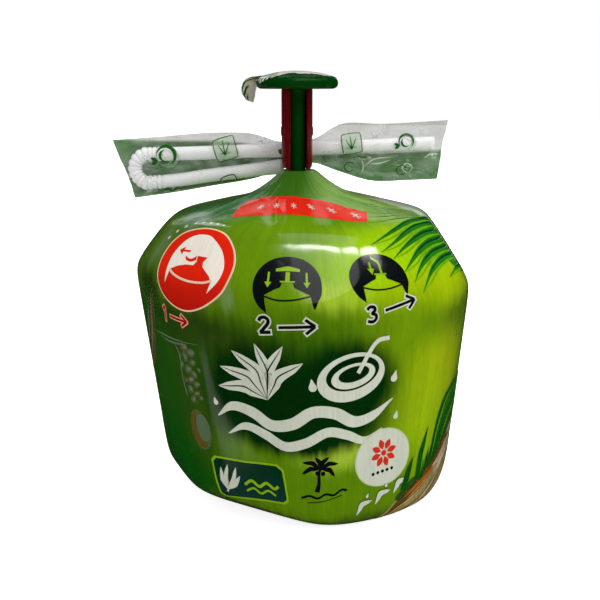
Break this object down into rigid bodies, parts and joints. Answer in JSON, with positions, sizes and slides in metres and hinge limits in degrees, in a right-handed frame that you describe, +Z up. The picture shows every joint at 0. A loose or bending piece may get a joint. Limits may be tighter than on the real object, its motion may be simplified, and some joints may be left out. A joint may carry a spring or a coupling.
{
  "type": "drinking coconut",
  "caption": "Trimmed young coconut in printed shrink film, with a push plunger in its neck, a split safety collar and a bent straw in a clear sachet clipped behind the collar.",
  "frame": {"origin": "middle of the flat foot that the coconut rests on", "axes": "+Z up along the coconut, -Y towards the front of the printed film, +X to the right seen from the front"},
  "size_m": [0.1294, 0.1187, 0.1497],
  "materials": {
    "printed_film": "glossy printed shrink film in greens",
    "green_plastic": "dark green moulded plastic",
    "red_plastic": "red moulded plastic",
    "clear_film": "clear film with green line print over a white straw",
    "white_film": "thin wrinkled white film"
  },
  "bodies": {
    "root": {"wrapped_coconut": "printed_film", "press_plunger": "green_plastic", "safety_collar": "red_plastic", "straw_sachet": "clear_film", "disc_cover": "white_film"}
  },
  "joints": []
}
